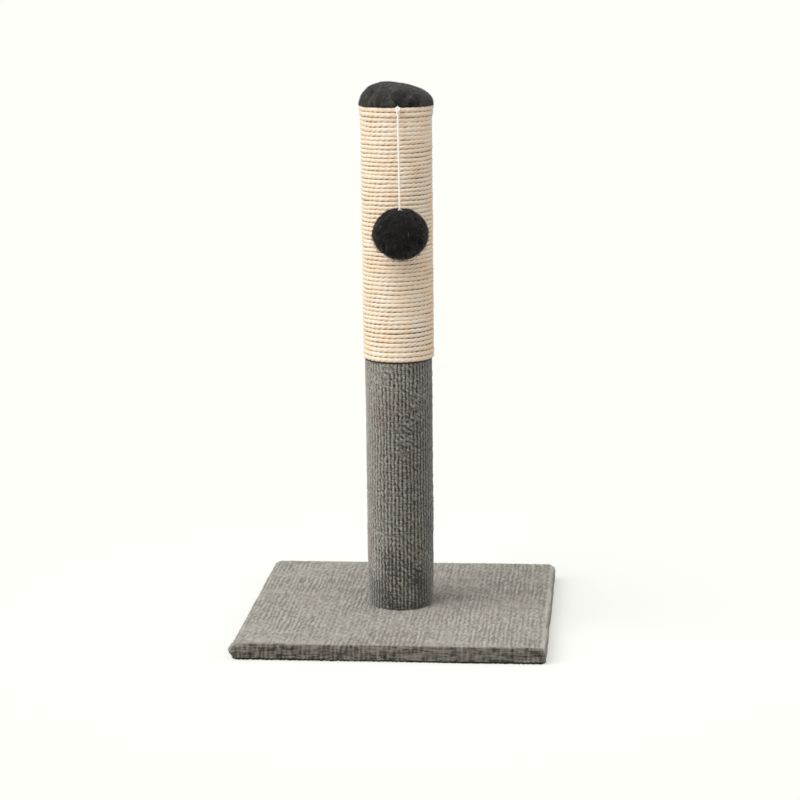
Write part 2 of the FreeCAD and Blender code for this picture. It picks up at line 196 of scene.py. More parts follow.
# Plush: colours of its crests, of its hollows (painted shade, partly the backing) and of brushed
# patches; edge: the dark and pale colours of the painted shade on the cover's front and back faces,
# and of its right rim's painted highlight
cap_stretch = (1.5, 1.5, 0.6)
plush_looks = {
    "sleeve_plush": ((190, 185, 172), (34, 32, 29), (168, 148, 134),
                     dict(sheen=0.8, patch_scale=45.0)),
    "base_plush": ((196, 192, 180), (124, 119, 110), (188, 176, 164),
                   dict(edge=((40, 37, 33), (138, 130, 120), (226, 220, 210)))),
    "cap_plush": ((58, 55, 51), (7, 7, 6), (128, 122, 115),
                  dict(sheen=0.3, patch_scale=80.0, patch_stretch=cap_stretch)),
    "cap_pile": ((72, 68, 64), (7, 7, 6), (178, 171, 161),
                 dict(sheen=0.3, patch_scale=80.0, patch_share=0.85, patch_stretch=cap_stretch)),
    "ball_plush": ((26, 25, 24), (4, 4, 4), (40, 38, 35), dict(sheen=0.1)),
    "ball_pile": ((30, 28, 26), (3, 3, 3), (134, 122, 110),
                  dict(patch_scale=70.0, patch_share=1.0)),
    "ball_tufts": ((120, 115, 108), (24, 23, 22), (170, 164, 154),
                   dict(sheen=0.1, patch_scale=50.0)),
}


# Shapes

def box(node):
    """The two corners of a CAD node's box, in millimetres."""
    return np.array(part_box(node)) / mm


def field(points, size, seed):
    """A smooth random field over points, mostly within -1 and 1, with lumps of about that size."""
    draw = np.random.default_rng(seed)
    ways = draw.normal(size=(field_waves, 3))
    ways *= math.pi / size / np.linalg.norm(ways, axis=1, keepdims=True)
    ways *= draw.uniform(0.6, 1.4, (field_waves, 1))
    phases = draw.uniform(0, math.tau, field_waves)
    return np.cos(points @ ways.T + phases).sum(-1) / math.sqrt(field_waves)


def smooth(value, low, high):
    """0 below low, 1 above high, with a soft step between."""
    share = np.clip((value - low) / (high - low), 0, 1)
    return share * share * (3 - 2 * share)


def bell(place, width, power=2):
    """1 at zero and nothing some widths away, with a flatter top for a higher power."""
    return np.exp(-((place / width) ** power))


def ridge(place):
    """Rounded ribs, one to each whole number: 1 on a rib's crest, 0 in a groove."""
    return 0.5 + 0.5 * np.cos(place * math.tau)


def from_level(share, level):
    """A share of 0 to 1, moved to between a level and 1."""
    return level + (1 - level) * share


def unit(vectors):
    return vectors / np.linalg.norm(vectors, axis=-1, keepdims=True)


def turns_round(count):
    return np.arange(count) * math.tau / count


def round_points(turn, radius, height):
    """Points about the post's axis."""
    parts = np.cos(turn) * radius, np.sin(turn) * radius, height
    return np.stack(np.broadcast_arrays(*parts), -1)


def lengths_along(line):
    """How far along a line each of its points lies."""
    return np.concatenate([[0], np.cumsum(np.linalg.norm(np.diff(line, axis=0), axis=1))])


def grid_faces(rows, columns, round_columns=True):
    """Quads over a grid of points that lie row after row."""
    last = columns if round_columns else columns - 1
    row, column = np.meshgrid(np.arange(rows - 1), np.arange(last), indexing="ij")
    beside = (column + 1) % columns
    quads = (row * columns + column, row * columns + beside,
             (row + 1) * columns + beside, (row + 1) * columns + column)
    return np.stack(quads, -1).reshape(-1, 4)


def tube_faces(rings, sides):
    """Quads along a tube of rings, and one face over each end."""
    end = np.arange(sides)[None]
    return [grid_faces(rings, sides), end[:, ::-1], end + (rings - 1) * sides]


def closed_grid(points, tip):
    """A grid of points with a tip beyond its last row, and the faces over all of them."""
    rows, columns = points.shape[:2]
    ring = (rows - 1) * columns + np.arange(columns)
    fan = np.stack([ring, np.roll(ring, -1), np.full(columns, rows * columns)], 1)
    return np.concatenate([points.reshape(-1, 3), tip[None]]), [grid_faces(rows, columns), fan]


def link(name, data):
    """A new object in the scene."""
    piece = bpy.data.objects.new(name, data)
    bpy.context.scene.collection.objects.link(piece)
    return piece


def read(items, key, width, kind=np.float32):
    """A property of mesh items, with a row for each."""
    values = np.empty(len(items) * width, kind)
    items.foreach_get(key, values)
    return values.reshape(-1, width)


def new_piece(name, points, faces, body, slot, look, flip=False, **attributes):
    """A smooth mesh from points in millimetres, which rides on a body and takes a material."""
    mesh = bpy.data.meshes.new(name)
    lists = [face[::-1] if flip else face for part in faces for face in np.asarray(part).tolist()]
    mesh.from_pydata((points.reshape(-1, 3) * mm).tolist(), [], lists)
    mesh.polygons.foreach_set("use_smooth", [True] * len(mesh.polygons))
    for key, values in attributes.items():
        values = np.asarray(values, np.float32)
        vectors = key == "fibre"
        layer = mesh.attributes.new(key, "FLOAT_VECTOR" if vectors else "FLOAT", "POINT")
        layer.data.foreach_set("vector" if vectors else "value", values.ravel())
    mesh.update()
    mesh.materials.append(look)
    piece = link(name, mesh)
    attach(piece, body)
    return piece


def hairs(roots, ways, lengths, radius, bend, steps):
    """Thin tapered three-sided hairs that bend to their side: their points and faces."""
    ways = unit(ways)
    side = unit(np.cross(ways, np.where(np.abs(ways[:, 2:]) > 0.8, (1.0, 0.0, 0.0), UP)))
    other = np.cross(ways, side)
    rows = []
    for step in range(steps + 1):
        share = step / steps
        middle = roots + ways * lengths[:, None] * share + bend * share ** 2
        if step == steps:
            rows.append(middle[:, None])
        else:
            thick = radius * (1 - share * 0.5)
            ring = [middle + (side * math.cos(turn) + other * math.sin(turn)) * thick
                    for turn in turns_round(3)]
            rows.append(np.stack(ring, 1))
    faces = []
    for step in range(steps):
        for corner in range(3):
            low, beside = 3 * step + corner, 3 * step + (corner + 1) % 3
            faces.append([low, beside, 3 * steps] if step == steps - 1
                         else [low, beside, beside + 3, low + 3])
    starts = np.arange(len(roots))[:, None] * (3 * steps + 1)
    return np.concatenate(rows, 1).reshape(-1, 3), [starts + np.array([face]) for face in faces]


def sweep(line, section, twist, thickness_out, thickness_up, squareness=2.0):
    """A tube along a line: section shares turned by twist, and squarer for a squareness above 2."""
    ahead = unit(np.gradient(line, axis=0))
    out = unit(np.cross(ahead, UP))
    up = np.cross(out, ahead)
    angle = turns_round(len(section)) + twist[:, None]
    powers = np.abs(np.cos(angle)) ** squareness + np.abs(np.sin(angle)) ** squareness
    reach = powers ** (-1 / squareness) * section
    wide = np.cos(angle) * reach * thickness_out[:, None]
    high = np.sin(angle) * reach * thickness_up[:, None]
    return line[:, None] + out[:, None] * wide[..., None] + up[:, None] * high[..., None], angle


# Materials

def colour(red, green, blue):
    """A colour written in 0 to 255, as the shader takes it: without the curve of sRGB."""
    def linear(value):
        share = value / 255
        return share / 12.92 if share <= 0.04045 else ((share + 0.055) / 1.055) ** 2.4
    return (linear(red), linear(green), linear(blue), 1.0)


def add(tree, kind, inputs=None, **settings):
    """A shader node with its settings, and inputs as values or as the outputs that feed them."""
    node = tree.nodes.new("ShaderNode" + kind)
    for name, value in settings.items():
        setattr(node, name, value)
    for name, value in (inputs or {}).items():
        if isinstance(value, bpy.types.NodeSocket):
            tree.links.new(value, node.inputs[name])
        else:
            node.inputs[name].default_value = value
    return node


def new_material(name, roughness, specular, metallic=0.0, sheen=0.0):
    look = bpy.data.materials.new(name)
    look.use_nodes = True
    tree = look.node_tree
    shader = tree.nodes["Principled BSDF"]
    values = {"Roughness": roughness, "Specular IOR Level": specular, "Metallic": metallic,
              "Sheen Weight": sheen}
    for socket, value in values.items():
        shader.inputs[socket].default_value = value
    return look, tree


def places(tree, stretch=(1, 1, 1), name=None):
    """The object's own coordinates, or a stored attribute's, stretched."""
    if name:
        source = add(tree, "Attribute", attribute_name=name).outputs["Vector"]
    else:
        source = add(tree, "TexCoord").outputs["Object"]
    return add(tree, "Mapping", {"Vector": source, "Scale": stretch}).outputs["Vector"]


def noise(tree, stretch, scale, detail=3.0, roughness=0.5, name=None):
    inputs = {"Vector": places(tree, stretch, name), "Scale": scale, "Detail": detail,
              "Roughness": roughness}
    return add(tree, "TexNoise", inputs).outputs["Fac"]


def spread(tree, value, low, high, to_low=0.0, to_high=1.0):
    """A value moved from one range to another, and held within it."""
    inputs = {"Value": value, "From Min": low, "From Max": high, "To Min": to_low,
              "To Max": to_high}
    return add(tree, "MapRange", inputs).outputs["Result"]


def mix(tree, factor, first, second):
    """A colour between two, each a colour of 0 to 255 or an output."""
    first, second = (colour(*part) if isinstance(part, tuple) else part for part in (first, second))
    inputs = {0: factor, 6: first, 7: second}
    return add(tree, "Mix", inputs, data_type="RGBA").outputs[2]


def tint(tree, base, value, low, high, share, shade):
    """A base colour, and another over it up to a share, as a value rises from low to high."""
    return mix(tree, spread(tree, value, low, high, 0.0, share), base, shade)


def stored(tree, name):
    return add(tree, "Attribute", attribute_name=name).outputs["Fac"]


def product(tree, first, second):
    return add(tree, "Math", {0: first, 1: second}, operation="MULTIPLY").outputs[0]


def total(tree, first, second):
    return add(tree, "Math", {0: first, 1: second}, operation="ADD").outputs[0]


def finish_material(look, base, height, strength, depth):
    """Links the colour and the bump, whose depth is in millimetres."""
    tree = look.node_tree
    shader = tree.nodes["Principled BSDF"]
    tree.links.new(base, shader.inputs["Base Color"])
    inputs = {"Height": height, "Strength": strength, "Distance": depth * mm}
    bump = add(tree, "Bump", inputs)
    tree.links.new(bump.outputs["Normal"], shader.inputs["Normal"])
    return look


def plush(name, crest, hollow, patch, edge=None, sheen=0.25, patch_scale=28.0, patch_share=0.6,
          patch_stretch=(1, 1, 1)):
    """Short pile: lighter on its crests, darker in its hollows, in patches where it is brushed.

    The hollows' darker colour is painted shade, partly the backing that shows.
    On the cover's front and back faces a darker streaked colour is painted as shade, with the
    knit's streaks and marks, and on its right rim a paler one as a painted highlight.
    """
    look, tree = new_material(name, 0.95, 0.15, sheen=sheen)
    fine = noise(tree, (1, 1, 1), 700.0, 4.0, 0.65)
    patches = noise(tree, patch_stretch, patch_scale, 5.0, 0.68)
    hollows = stored(tree, "hollow")
    base = tint(tree, crest, patches, 0.48, 0.66, patch_share, patch)
    # Darker in the hollows: painted shade, partly the backing that shows
    depth = total(tree, hollows, spread(tree, fine, 0.3, 0.7, -0.25, 0.25))
    base = tint(tree, base, depth, 0.0, 1.0, 1.0, hollow)
    base = tint(tree, base, fine, 0.35, 0.65, 0.35, hollow)
    if edge:
        # Painted shade on the cover's front and back faces: a dark and a pale colour, with the
        # knit's streaks and marks
        painted_face_shade_dark, painted_face_shade_light, painted_rim_highlight = edge
        side = stored(tree, "side")
        streaks = noise(tree, (0.22, 0.22, 1.6), 420.0, 3.0, 0.6)
        marks = noise(tree, (1.0, 1.0, 0.15), 420.0, 2.0)
        streaks = spread(tree, streaks, 0.36, 0.64, -0.4, 0.4)
        shade = total(tree, product(tree, hollows, 0.5), streaks)
        shade = total(tree, shade, spread(tree, marks, 0.38, 0.64, -0.15, 0.15))
        painted_face_shade = tint(tree, painted_face_shade_light, shade, -0.1, 0.8, 1.0, painted_face_shade_dark)
        base = mix(tree, product(tree, side, 0.9), base, painted_face_shade)
        # Painted highlight: the paler rim on the cover's right side
        rim = product(tree, product(tree, side, -1.0), spread(tree, marks, 0.35, 0.65, 0.3, 0.9))
        base = mix(tree, rim, base, painted_rim_highlight)
    # Painted shade: the darkest colour in the gaps at the base's foot and under the rope
    base = tint(tree, base, hollows, 1.2, 2.0, 1.0, painted_gap_shade)
    return finish_material(look, base, fine, 0.6, 0.5)


def sisal_look():
    """Pale sisal: fibres that run along the strands, and painted shade where the strands and the
    turns meet.
    """
    look, tree = new_material("sisal", 0.75, 0.25, sheen=0.1)
    fibres = noise(tree, (1, 1, 1), 1.0, 3.0, 0.6, name="fibre")
    strands = noise(tree, (1, 1, 1), 60.0, 2.0)
    uneven_darkening = noise(tree, (1, 1, 0.6), 110.0, 2.0)
    pale, tan, painted_groove_shade = (255, 241, 220), (255, 224, 187), (188, 132, 86)
    base = tint(tree, pale, strands, 0.35, 0.68, 0.65, tan)
    base = tint(tree, base, fibres, 0.45, 0.75, 0.5, tan)
    # Painted shade where the strands and the turns meet, unevenly dark
    groove = spread(tree, stored(tree, "hollow"), 0.15, 1.0)
    groove = product(tree, groove, spread(tree, uneven_darkening, 0.38, 0.62, 0.35, 0.9))
    return finish_material(look, mix(tree, groove, base, painted_groove_shade), fibres, 0.5, 0.25)


def cord_look():
    """Cream cotton, with painted shade between its plies."""
    look, tree = new_material("cord_cotton", 0.6, 0.4, sheen=1.0)
    fine = noise(tree, (1, 1, 1), 1500.0, 2.0)
    base = tint(tree, (255, 252, 240), fine, 0.3, 0.7, 1.0, (255, 244, 222))
    base = tint(tree, base, stored(tree, "hollow"), 0.3, 1.0, 0.4, (226, 206, 172))
    return finish_material(look, base, fine, 0.4, 0.1)


def wadding_look():
    look, tree = new_material("wadding", 1.0, 0.1, sheen=0.3)
    fine = noise(tree, (1, 1, 1), 420.0, 6.0, 0.75)
    base = tint(tree, (238, 238, 235), fine, 0.3, 0.7, 1.0, (205, 205, 200))
    return finish_material(look, base, fine, 0.8, 1.0)


def chipboard_look():
    """Pressed wood chips with the saw's fine dust between them."""
    look, tree = new_material("board", 0.8, 0.25)
    distances, tones = [], []
    for stretch, scale, channel in (((1, 0.45, 1), 260.0, 0), ((0.5, 1, 1), 520.0, 1)):
        inputs = {"Vector": places(tree, stretch), "Scale": scale}
        chips = add(tree, "TexVoronoi", inputs).outputs
        parts = add(tree, "SeparateColor", {"Color": chips["Color"]})
        distances.append(chips["Distance"])
        tones.append(parts.outputs[channel])
    base = mix(tree, tones[0], (196, 168, 124), (222, 198, 156))
    base = tint(tree, base, tones[1], 0.6, 1.0, 0.6, (168, 134, 90))
    return finish_material(look, base, total(tree, *distances), 0.3, 0.2)


def wood_look():
    """Raw softwood with rings, seen on its end and its side."""
    look, tree = new_material("plug_wood", 0.7, 0.3)
    inputs = {"Vector": places(tree, (1, 1, 0.08)), "Scale": 90.0, "Distortion": 4.0, "Detail": 3.0}
    rings = add(tree, "TexWave", inputs, wave_type="BANDS").outputs["Fac"]
    grain = noise(tree, (1, 8, 1), 240.0, 4.0)
    base = mix(tree, rings, (218, 186, 138), (196, 158, 108))
    base = tint(tree, base, grain, 0.4, 0.7, 0.4, (160, 122, 78))
    return finish_material(look, base, grain, 0.3, 0.15)


def cardboard_look():
    """Brown paper wound in a slant, with a line where each winding meets the next."""
    look, tree = new_material("tube_card", 0.85, 0.2)
    inputs = {"Vector": places(tree, (0.25, 0.25, 1)), "Scale": 3.5, "Distortion": 0.3}
    wave = add(tree, "TexWave", inputs, wave_type="BANDS", bands_direction="Z")
    fibre = noise(tree, (1, 1, 3), 300.0, 5.0, 0.7)
    base = tint(tree, (196, 160, 116), fibre, 0.3, 0.7, 1.0, (172, 136, 92))
    lines = spread(tree, wave.outputs["Fac"], 0.0, 0.06, 0.6, 0.0)
    return finish_material(look, mix(tree, lines, base, (126, 94, 60)), fibre, 0.3, 0.1)


def steel_look():
    """Zinc-plated steel with faint drawn lines."""
    look, tree = new_material("steel", 0.35, 0.5, metallic=1.0)
    lines = noise(tree, (1, 1, 12), 900.0)
    spots = noise(tree, (1, 1, 1), 180.0)
    base = tint(tree, (200, 201, 204), spots, 0.35, 0.65, 1.0, (176, 178, 182))
    rough = tree.nodes["Principled BSDF"].inputs["Roughness"]
    tree.links.new(spread(tree, lines, 0.3, 0.7, 0.28, 0.45), rough)
    return finish_material(look, base, lines, 0.2, 0.05)


# Rope

def rope_edges(bottom, top):
    """The heights between the rope's rows, which are a little uneven and wider at both ends."""
    draw = np.random.default_rng(11)
    pitches = 1 + 0.05 * np.clip(draw.normal(size=rope_turns), -1.5, 1.5)
    pitches[:len(rope_bottom_shares)] *= rope_bottom_shares
    pitches[-len(rope_top_shares):] *= rope_top_shares
    return bottom + np.concatenate([[0], np.cumsum(pitches)]) * (top - bottom) / pitches.sum()


@functools.cache
def rope_line():
    """The rope's centre line from its lower end, with each point's half height.

    The first and last turns lie level round the front and climb to the next row behind.
    """
    tube = box("post_tube")[1, 0]
    skirt_bottom = box("cap_cover")[0, 2]
    edges = rope_edges(*box("sisal_rope")[:, 2])
    turn = np.linspace(0, rope_round_turns, rope_rings)
    from_end = np.minimum(turn, rope_round_turns - turn)
    part = turn % 1
    step = smooth(part, rope_level_share, 1.0) - part
    row = turn + (1 - smooth(from_end, *rope_level_turns)) * step
    height = np.interp(row + 0.5, np.arange(rope_turns + 1), edges)
    half = np.interp(row, np.arange(rope_turns), np.diff(edges)) / 2 * 0.995
    angle = rope_start + turn * math.tau
    flat = round_points(angle, 33, height * 2.5)
    sway = 0.14 * field(flat, 26.0, 3) + 0.20 * field(flat, 11.0, 7)
    height = height + sway * smooth(from_end, 0.5, 2.5)
    lifted = rope_lift * smooth(height, skirt_bottom - 5, skirt_bottom)
    radius = tube + play + rope_half + lifted
    radius = radius + 0.10 * field(flat, 17.0, 4) + 0.08 * field(flat, 7.0, 8)
    return round_points(angle, radius, height), half


def round_post(turn, start, heights):
    """Heights along one turn of the rope that starts at an angle, at each angle round the post."""
    part = (turn - start) / math.tau % 1
    return np.interp(part, np.linspace(0, 1, turn_rings), heights)


def rope_rise(turn):
    """How far the rope's lowest turn has climbed at each angle round the post."""
    line, half = rope_line()
    under = (line[:, 2] - half)[:turn_rings]
    return round_post(turn, rope_start, under - under[:turn_rings // 2].min())


def rope_fall(turn):
    """How far the rope's highest turn lies below its top at each angle round the post."""
    line, half = rope_line()
    over = (line[:, 2] + half)[-turn_rings:]
    end = rope_start + rope_round_turns * math.tau
    return round_post(turn, end, over[turn_rings // 2:].max() - over)


def make_rope(look):
    line, half = rope_line()
    along = lengths_along(line)
    thick = rope_half * (1 + 0.05 * field(np.outer(along, (1, 0, 0)), 30.0, 5))
    section = strand_shares * strand_count
    points, angle = sweep(line, section, along * math.tau / rope_lay, thick, half, rope_squareness)
    rings, sides = angle.shape
    # Painted shade where the turns meet, unevenly dark from row to row, and in the hollows between
    # the strands
    open_shares = np.random.default_rng(12).uniform(0.3, 1.0, rope_turns + 1)
    open_shares[open_row] = 2.0
    turn = np.linspace(0, rope_round_turns, rings)
    opened = np.interp(turn, np.arange(rope_turns + 1), open_shares)[:, None]
    tight = smooth(np.abs(np.sin(angle)), 0.78, 0.98) * opened
    uneven_darkening = np.clip(0.38 + 0.42 * field(line * (1, 1, 2), 14.0, 6), 0, 1)
    strand = np.asarray(strand_hollows * strand_count) * uneven_darkening[:, None]
    hollow = np.clip(tight * (0.35 + 1.5 * strand) + 0.5 * strand, 0, 1)
    turns = turns_round(sides)
    fibre = (along[:, None] / 5, np.cos(turns) * 7, np.sin(turns) * 7)
    fibre = np.stack(np.broadcast_arrays(*fibre), -1)
    rope = new_piece("wound_rope", points, tube_faces(rings, sides), "stand", "sisal", look,
                     flip=True, hollow=hollow, fibre=fibre)
    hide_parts("sisal_rope")


def make_rope_fibres(look):
    """Loose fibre ends that stand off the rope."""
    line, half = rope_line()
    draw = np.random.default_rng(21)
    one_each = (fibre_count, 1)
    pick = draw.integers(20, len(line) - 20, fibre_count)
    out = unit(line[pick] * (1, 1, 0))
    ahead = np.cross(UP, out) * draw.choice((-1, 1), fibre_count)[:, None]
    turn = draw.uniform(-1.1, 1.1, one_each)
    root = out * np.cos(turn) * rope_half + UP * np.sin(turn) * half[pick, None]
    root = line[pick] + root * 0.93
    way = ahead + out * draw.uniform(0.05, 0.35, one_each)
    way = way + UP * draw.normal(0, 0.35, one_each)
    length = draw.uniform(*fibre_length, fibre_count)
    bend = out * draw.uniform(-0.3, 0.9, one_each) + UP * draw.normal(0, 0.8, one_each)
    points, faces = hairs(root, way, length, fibre_radius, bend, fibre_steps)
    new_piece("rope_fibres", points, faces, "stand", "sisal", look,
              hollow=np.zeros(len(points)), fibre=points * 0.2)


# Plush sleeve

def sleeve_tufts(turn, height, flat, bottom, top):
    """How far the sleeve's pile reaches at each point, 0 to 1: ribs of tufts, flatter in patches
    and towards the bottom, and thinner on the right as painted shade.
    """
    count = (turn - quarter) / math.tau * sleeve_ribs
    sway = 0.11 * field(flat * (1, 1, 0.35), 8.0, 31) + 0.08 * field(flat, 2.6, 37)
    starts = np.random.default_rng(32).uniform(0, 1, sleeve_ribs + 1)
    starts = starts[np.floor(count + 0.5).astype(int) % sleeve_ribs]
    beads = ridge(height / bead_spacing + starts + 0.5 * field(flat, 10.0, 33))
    ruffled = 0.6 * smooth(field(flat * (1, 1, 0.5), 14.0, 36), -0.1, 1.2)
    tuft = from_level(ridge(count + sway), 0.24) * from_level(beads, 0.6)
    tuft = tuft * (1 - ruffled) + ruffled * 0.5
    tuft = tuft + (0.18 + 0.16 * ruffled) * field(flat, 1.7, 34)
    # Pile flatter and darker in patches, more so towards the bottom
    uneven_darkening = field(flat * (1, 1, 0.7), 20.0, 38) + (90 - height) / 40
    # Painted shade: the pile thinner and darker on the right, away from the key lamp, fuller on the
    # left; fuller towards the top
    tuft = tuft - 0.22 * np.cos(turn + 0.5) + 0.10 * smooth(height, 190, 250)
    tuft = tuft - 0.4 * smooth(uneven_darkening, 0.2, 1.8)
    seam = smooth(np.abs(count), 0.0, 0.35)
    seam = seam * smooth(sleeve_ribs - np.abs(count), 0.0, 0.35)
    ends = smooth(height - bottom, 0, 1.2) * smooth(top - height, 0, 1.6)
    tuft = np.clip(tuft, 0, 1.12)
    return tuft * from_level(ends, 0.1) * from_level(seam, 0.15)


def make_sleeve(look):
    low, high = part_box("post_sleeve")
    inner = box("post_tube")[1, 0] + play
    bottom, outer = low.z / mm, high.x / mm
    columns = sleeve_ribs * sleeve_columns_per_rib
    turn = turns_round(columns) + quarter
    top = high.z / mm - sleeve_short + rope_rise(turn)[None]
    share, turn = np.meshgrid(np.linspace(0, 1, sleeve_rows), turn, indexing="ij")
    height = bottom + (top - bottom) * share
    flat = round_points(turn, outer, height)
    tuft = sleeve_tufts(turn, height, flat, bottom, top)
    radius = outer + sleeve_fullness - sleeve_rib_depth * (1 - tuft) + 0.12 * field(flat, 45.0, 35)
    points = round_points(turn, radius, height)
    ends = points[[0, -1]]
    ends[..., :2] = unit(ends[..., :2]) * inner
    points = np.concatenate([ends[:1], points, ends[1:]])
    hollow = np.pad(1 - np.clip(tuft, 0, 1), ((1, 1), (0, 0)), mode="edge")
    # Painted shade: the sleeve's top edge, in the gap under the rope, takes the darkest colour
    hollow[-2:] = 2.0
    faces = [grid_faces(len(points), columns)]
    sleeve = new_piece("plush_sleeve", points, faces, "stand", "sleeve_plush", look,
                       flip=True, hollow=hollow, side=np.zeros(hollow.size))
    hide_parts("post_sleeve")
    make_pile("sleeve_pile", sleeve, "stand", "sleeve_plush", look, bottom + 0.8)


# Plush cover of the base

def square_side(half, radius, count):
    """Points and normals along a rounded square's lower side, from corner to corner."""
    arc = radius * math.pi / 4
    straight = 2 * (half - radius)
    along = np.linspace(0, straight + 2 * arc, count + 1)
    first = along < arc
    last = along > arc + straight
    angle = np.where(first, -0.75 * math.pi + along / radius, -quarter)
    angle = np.where(last, -quarter + (along - arc - straight) / radius, angle)
    middle = np.where(first, 0, np.clip(along - arc, 0, straight)) - half + radius
    x = middle + radius * np.where(first | last, np.cos(angle), 0)
    y = -half + radius + radius * np.sin(angle)
    return np.stack([x, y], 1), np.stack([np.cos(angle), np.sin(angle)], 1)


def square_ring(half, radius):
    """Points and outward normals round a rounded square, side after side."""
    points, normals = [], []
    for index, count in enumerate((base_columns, base_rows) * 2):
        side, normal = square_side(half, radius, count)
        turn = index * quarter
        matrix = np.array([[math.cos(turn), math.sin(turn)], [-math.sin(turn), math.cos(turn)]])
        points.append((side @ matrix)[:-1])
        normals.append((normal @ matrix)[:-1])
    return np.concatenate(points), np.concatenate(normals)


def inner_patch(ring):
    """The grid of the rectangle inside a ring, blended from its four sides."""
    a, b = base_columns, base_rows
    closed = np.concatenate([ring, ring[:1]])
    front, right = closed[:a + 1], closed[a:a + b + 1]
    back, left = closed[a + b:2 * a + b + 1][::-1], closed[2 * a + b:][::-1]
    u = np.linspace(0, 1, a + 1)[None, :, None]
    v = np.linspace(0, 1, b + 1)[:, None, None]
    patch = (1 - v) * front[None] + v * back[None] + (1 - u) * left[:, None] + u * right[:, None]
    corners = ((1 - u) * (1 - v) * front[0] + u * (1 - v) * front[-1]
               + (1 - u) * v * back[0] + u * v * back[-1])
    return patch - corners


def base_profile(half, top):
    """The cloth's way from the top's edge round to the flap's end: half widths, heights, slopes."""
    def bend(radius, middle, first, steps):
        slopes = [first - quarter * step / steps for step in range(1, steps + 1)]
        return [(half - radius * (1 - math.cos(slope)), middle + radius * math.sin(slope), slope)
                for slope in slopes]

    rows = bend(edge_radius, top - edge_radius, quarter, 6)
    side = np.linspace(top - edge_radius, foot_radius + 1.0, 8)[1:].tolist()
    # Two rows near the foot, for the band of painted shade
    side += [foot_radius + 0.7, foot_radius]
    rows += [(half, level, 0.0) for level in side]
    rows += bend(foot_radius, foot_radius, 0.0, 4)
    for inwards in np.linspace(foot_radius, flap_width, flap_rows + 1)[1:].tolist():
        rows.append((half - inwards, 0.0, -quarter))
    rows.append((half - flap_width, 1.2, -quarter))
    return rows + [(half - flap_width + 0.3, 2.4, -quarter)]


def cloth_ribs(unfolded, along):
    """How far the pile reaches at a place on the unfolded cloth, 0 to 1."""
    spot = np.stack([unfolded, along, along * 0], -1)
    sway = 0.12 * field(spot * (1, 0.25, 1), 9.0, 41) + 0.18 * field(spot, 3.0, 48)
    rib = ridge(unfolded / rib_spacing + sway)
    patch = smooth(field(spot, 38.0, 42), -1.1, 1.1)
    strokes = from_level(smooth(field(spot * (1, 0.45, 1), 4.5, 45), -1.6, 0.4), 0.45)
    tall = rib * from_level(patch, 0.35) * strokes + (1 - patch) * 0.4
    return np.clip(tall + 0.26 * field(spot * (1, 0.5, 1), 2.4, 43), 0, fullest_pile)


def press_flaps(row):
    """Lifts a row of the flaps where a staple or the mitre between two flaps draws them in."""
    line = box("cover_staples")[1, 0] - 0.5
    for along, across in ((0, 1), (1, 0)):
        for spot in (np.arange(4) - 1.5) * staple_step:
            for side in (-line, line):
                dent = bell(row[:, along] - spot, 8, 4) * bell(row[:, across] - side, 2.6)
                row[:, 2] += staple_dent * dent
    row[:, 2] += mitre_dent * bell(np.abs(row[:, 0]) - np.abs(row[:, 1]), 1.1)


def base_row(ring, normal, wrap, profile, half, top):
    """One row of the cloth round the base, with the painted shade of its hollows, and the painted
    shade or highlight of its side.
    """
    wide, level, slope = profile
    spot, facing = square_ring(wide, max(corner_radius - (half - wide), least_corner))
    count = len(spot)
    rise = level / top
    upright = 1 - abs(math.sin(slope))
    diagonal = bell(np.abs(facing[:, 0]) - np.abs(facing[:, 1]), 0.55)
    pulled = corner_pull * bell(np.abs(spot + half).sum(1), corner_pull_width)
    bulge = (corner_bulge * diagonal + pulled) * math.sin(math.pi * rise ** 1.4)
    bulge = bulge - corner_tuck * (1 - rise) ** 3 * diagonal
    wave = 0.3 * field(np.column_stack([spot, np.full(count, level)]), 40.0, 46)
    spot = spot + facing * (bulge + wave * upright)[:, None]
    tall = cloth_ribs(*(ring + normal * wrap).T)
    ruffles = 0.3 * field(np.column_stack([spot, np.full(count, level)]) * (0.3, 0.3, 1.8), 4.0, 47)
    tall = np.clip(tall + upright * ruffles, 0, fullest_pile)
    depth = rib_depth * (1 - np.minimum(tall, 1.0))
    out = np.column_stack([facing * math.cos(slope), np.full(count, math.sin(slope))])
    sideways = np.abs(spot[:, 0]) - half + round_width
    sideways = np.clip(sideways / (round_width - edge_radius), 0, 1)
    drop = side_round * (1 - edge_radius / round_width) ** 2 * sideways ** 2 * rise ** 2
    row = np.column_stack([spot, level - drop]) - out * depth[:, None]
    row[:, 0] -= np.sign(row[:, 0]) * side_round * 0.5 * facing[:, 0] ** 2 * rise ** 3
    if slope < -1.0 and level < 0.5:
        press_flaps(row)
    steep = 1 - abs(math.sin(slope)) ** 3
    # Darker in the pile's hollows, and painted shade on the sides towards the foot
    hollow = 1 - tall + 0.35 * (1 - rise) * steep
    # Painted shade: the band at the cover's foot takes the darkest colour
    if 0 < level < painted_foot_shade_height:
        hollow = np.full(count, 2.0)
    # Painted shade on the front and back faces; a painted highlight on the right side's rim (pale)
    front = smooth(np.abs(facing[:, 1]), 0.6, 0.95)
    pale = (facing[:, 0] > 0) * rise ** 2
    return row, hollow, front * steep - (1 - front) * pale


